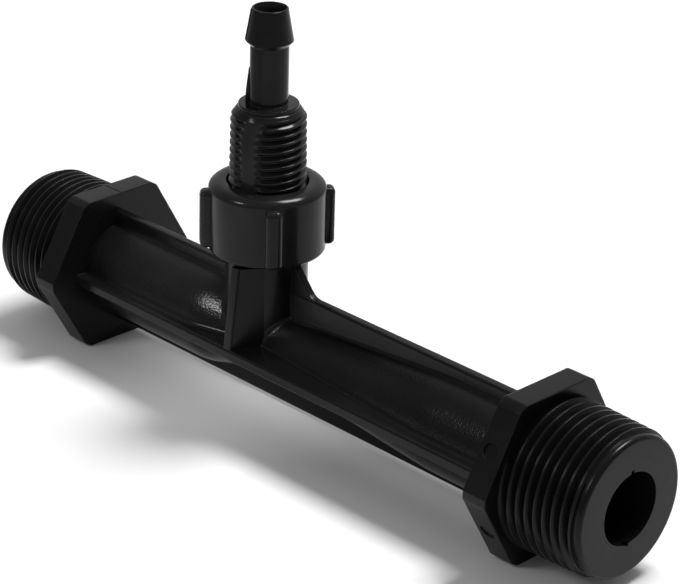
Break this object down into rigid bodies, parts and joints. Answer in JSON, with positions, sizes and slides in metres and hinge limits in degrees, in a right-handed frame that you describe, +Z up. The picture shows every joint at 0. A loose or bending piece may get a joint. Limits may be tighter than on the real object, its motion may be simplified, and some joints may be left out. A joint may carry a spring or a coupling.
{
  "type": "venturi fertilizer injector",
  "caption": "Ribbed venturi injector with threaded pipe ends, hex flanges and a suction branch carrying a lugged union nut, barbed nipple and ball check valve.",
  "frame": {"origin": "under the middle of the length, on the plane of the two lower hex flats that the injector rests on", "axes": "+X with the flow from inlet to outlet, +Z up along the suction branch"},
  "size_m": [0.1464, 0.0332, 0.0764],
  "materials": {
    "body_plastic": "black moulded polypropylene, satin with a fine spark texture",
    "nut_plastic": "black moulded polypropylene, semi-gloss",
    "nipple_plastic": "black moulded polypropylene, satin",
    "seal_rubber": "matt black rubber",
    "ball_plastic": "off-white ground acetal",
    "spring_steel": "drawn stainless wire"
  },
  "bodies": {
    "injector": {"venturi_body": "body_plastic", "union_nut": "nut_plastic", "suction_nipple": "nipple_plastic", "seat_washer": "seal_rubber", "check_spring": "spring_steel"},
    "valve_ball": {"check_ball": "ball_plastic"}
  },
  "joints": [
    {"name": "check_ball_slide", "type": "slide", "parent": "injector", "child": "valve_ball", "axis": [0, 0, -1], "range_m": [0, 0.0025], "stiffness_N_per_m": 30, "springref_m": -0.002, "deforming": ["check_spring"]}
  ]
}
